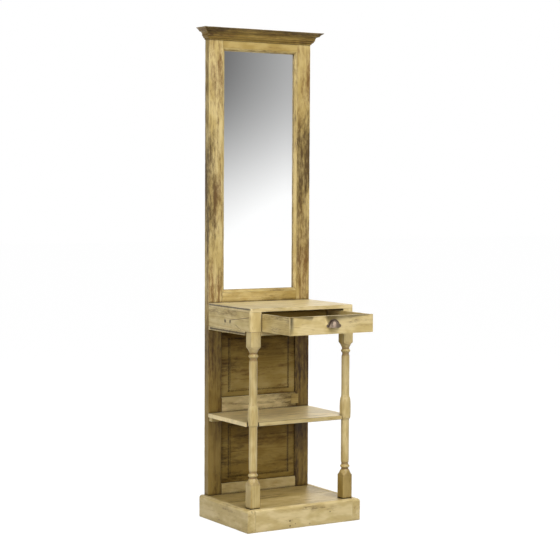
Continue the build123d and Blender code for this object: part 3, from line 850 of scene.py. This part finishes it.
class STAND_OT_legs(bpy.types.Operator):
    """The two turned legs"""
    bl_idname = "stand.legs"
    bl_label = "Legs"

    def execute(self, context):
        for node, drum, lift, foot_tone in LEGS:
            low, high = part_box(node)
            centre = (low + high) / 2
            shift = Vector((0.03 - centre.x, 0.04 - centre.y, 0.3 + centre.x))
            material = pine("Pine " + node.replace("_", " "), ALONG_Z, shift, 0.84, -0.05, dirt=1.0,
                            gloss=0.3, fade=("Z", 0.24, 0.18, foot_tone))
            turned_leg(node, drum, lift, material)
        return {"FINISHED"}


class STAND_OT_shelf(bpy.types.Operator):
    """The shelf, its cleat and its dowels"""
    bl_idname = "stand.shelf"
    bl_label = "Shelf"

    def execute(self, context):
        # Painted light: the shelf's top is toned 1.65 times lighter than its rounded front edge.
        material = board_material("shelf", ALONG_X, 0.8, -0.1, gloss=0.4,
                                  fade=("Y", -0.376, -0.35, 1.65))
        notched_shelf("shelf", material)
        board("shelf_cleat", ALONG_X, 0.9, 0.3)
        for side in ("left", "right"):
            board("shelf_dowel_" + side, ALONG_Y, 0.9, 0.1, radius=THIN_EDGE)
        return {"FINISHED"}


class STAND_OT_plinth(bpy.types.Operator):
    """The plinth boards, the base boards and their cleat"""
    bl_idname = "stand.plinth"
    bl_label = "Plinth"

    def execute(self, context):
        board("plinth_front", ALONG_X, 0.98, -0.2, dirt=0.4, knots=PLINTH_KNOTS)
        board("plinth_side_left", ALONG_Y, 0.92, -0.1, dirt=0.4)
        board("plinth_side_right", ALONG_Y, 0.95, -0.1, dirt=0.4)
        board("base_board_front", ALONG_X, 0.8, 0.15, gloss=0.4)
        board("base_board_back", ALONG_X, 0.68, 0.3, gloss=0.4)
        board("base_cleat", ALONG_X, 0.7, 0.3, gloss=0.1)
        return {"FINISHED"}


class STAND_OT_studio(bpy.types.Operator):
    """Floor, lamps, surroundings and camera"""
    bl_idname = "stand.studio"
    bl_label = "Studio"

    def execute(self, context):
        scene = context.scene
        studio = scene.hall_stand_studio
        self.floor(scene, studio)
        self.surroundings(scene, studio)
        middle = (0.0, -0.2, 0.9)
        self.lamp(scene, "Key lamp", (0.2, -3.5, 4.7), middle, (3.2, 2.2), studio.key_power)
        self.lamp(scene, "Side lamp", (-4.8, -1.0, 1.7), middle, (2.0, 2.6), studio.side_power)
        self.lamp(scene, "Fill lamp", (-0.8, -5.0, 2.0), middle, (3.0, 1.6), studio.fill_power)
        rear = self.lamp(scene, "Rear lamp", (3.6, 3.4, 2.4), middle, (2.4, 2.4), studio.rear_power)
        rear.visible_glossy = False
        self.camera(scene, studio)
        return {"FINISHED"}

    def floor(self, scene, studio):
        """A white floor that keeps a soft shadow."""
        half = studio.floor_size / 2
        mesh = bpy.data.meshes.new("floor")
        mesh.from_pydata([(-half, -half, 0), (half, -half, 0), (half, half, 0), (-half, half, 0)], [],
                         [(0, 1, 2, 3)])
        floor = bpy.data.objects.new("floor", mesh)
        scene.collection.objects.link(floor)
        material = bpy.data.materials.new("Studio floor")
        material.use_nodes = True
        tree = material.node_tree
        tree.nodes.clear()
        rays = put(tree, "LightPath").outputs
        white = put(tree, "Emission", {"Color": (1, 1, 1, 1), "Strength": 1.165})
        matte = put(tree, "BsdfDiffuse", {"Color": (0.4, 0.4, 0.4, 1)})
        mirrored = calc(tree, "MAXIMUM", rays["Is Glossy Ray"], rays["Is Transmission Ray"])
        share = calc(tree, "MAXIMUM", calc(tree, "MULTIPLY", rays["Is Camera Ray"], 0.85), mirrored)
        skin = put(tree, "MixShader", {0: share, 1: matte.outputs[0], 2: white.outputs[0]})
        tree.links.new(skin.outputs[0], put(tree, "OutputMaterial").inputs[0])
        mesh.materials.append(material)

    def surroundings(self, scene, studio):
        """White to the camera; to polished things a room that darkens upwards behind the camera."""
        world = bpy.data.worlds.new("Studio")
        world.use_nodes = True
        scene.world = world
        tree = world.node_tree
        tree.nodes.clear()
        rays = put(tree, "LightPath").outputs
        ways = put(tree, "SeparateXYZ", {0: put(tree, "TexCoord").outputs["Generated"]}).outputs
        falling = ease(tree, ways["Z"], *ROOM_SPAN, 1.0, 0.0)
        room = calc(tree, "MULTIPLY_ADD", calc(tree, "POWER", falling, ROOM_HASTE), ROOM_FALL, ROOM_TOP)
        sideways = put(tree, "MapRange", {"Value": ways["X"], "From Min": 0.4946, "From Max": 0.5271,
                                          "To Min": 0.0, "To Max": 0.23}).outputs["Result"]
        front = calc(tree, "ADD", room, sideways, clamp=True)
        front = calc(tree, "DIVIDE", front, 0.93)
        is_front = calc(tree, "LESS_THAN", ways["Y"], 0.0)
        backdrop = ease(tree, ways["X"], -0.1, 0.3, 0.4, 1.0)
        glossy = put(tree, "Mix", {"Factor": is_front, "A": backdrop, "B": front}).outputs["Result"]
        mirrored = calc(tree, "MAXIMUM", rays["Is Glossy Ray"], rays["Is Transmission Ray"])
        strength = put(tree, "Mix", {"Factor": mirrored, "A": studio.ambient, "B": glossy})
        strength = put(tree, "Mix", {"Factor": rays["Is Camera Ray"], "A": strength.outputs["Result"],
                                     "B": 1.0})
        sky = put(tree, "Background", {"Color": (1, 1, 1, 1), "Strength": strength.outputs["Result"]})
        tree.links.new(sky.outputs[0], put(tree, "OutputWorld").inputs[0])

    def lamp(self, scene, name, place, aim, size, power):
        """A rectangular soft lamp."""
        data = bpy.data.lights.new(name, "AREA")
        data.shape = "RECTANGLE"
        data.size, data.size_y = size
        data.energy = power
        lamp = bpy.data.objects.new(name, data)
        lamp.location = place
        lamp.rotation_mode = "QUATERNION"
        lamp.rotation_quaternion = (Vector(aim) - Vector(place)).to_track_quat("-Z", "Y")
        scene.collection.objects.link(lamp)
        return lamp

    def camera(self, scene, studio):
        """The photograph's viewpoint, a little above and to the left of the mirror."""
        data = bpy.data.cameras.new("Camera")
        data.sensor_width = 36.0
        data.lens = studio.lens
        data.clip_end = 200.0
        camera = bpy.data.objects.new("Camera", data)
        turned = Matrix((CAMERA_RIGHT, CAMERA_UP, CAMERA_BACK)).transposed().to_4x4()
        camera.matrix_world = Matrix.Translation(CAMERA_PLACE) @ turned
        scene.collection.objects.link(camera)
        scene.camera = camera
        scene.view_settings.view_transform = "Standard"


class STAND_PT_sidebar(bpy.types.Panel):
    """Lists the pieces of the hall stand"""
    bl_idname = "STAND_PT_sidebar"
    bl_label = "Hall Stand"
    bl_space_type = "VIEW_3D"
    bl_region_type = "UI"
    bl_category = "Hall Stand"

    def draw(self, context):
        column = self.layout.column()
        for operator in PIECES:
            column.operator(operator.bl_idname)
        for settings in (context.scene.hall_stand_wood, context.scene.hall_stand_metal,
                         context.scene.hall_stand_studio):
            for name in settings.__annotations__:
                column.prop(settings, name)


PIECES = (STAND_OT_back_frame, STAND_OT_panels, STAND_OT_mirror, STAND_OT_cornice, STAND_OT_table,
          STAND_OT_drawer, STAND_OT_cup_pull, STAND_OT_legs, STAND_OT_shelf, STAND_OT_plinth,
          STAND_OT_studio)
SETTINGS = (WoodSettings, MetalSettings, StudioSettings)


def register():
    for entry in SETTINGS + PIECES + (STAND_PT_sidebar,):
        bpy.utils.register_class(entry)
    bpy.types.Scene.hall_stand_wood = PointerProperty(type=WoodSettings)
    bpy.types.Scene.hall_stand_metal = PointerProperty(type=MetalSettings)
    bpy.types.Scene.hall_stand_studio = PointerProperty(type=StudioSettings)


def unregister():
    del bpy.types.Scene.hall_stand_studio
    del bpy.types.Scene.hall_stand_metal
    del bpy.types.Scene.hall_stand_wood
    for entry in reversed(SETTINGS + PIECES + (STAND_PT_sidebar,)):
        bpy.utils.unregister_class(entry)


def main():
    register()
    for operator in PIECES:
        family, name = operator.bl_idname.split(".")
        getattr(getattr(bpy.ops, family), name)()


if __name__ == "__main__":
    main()
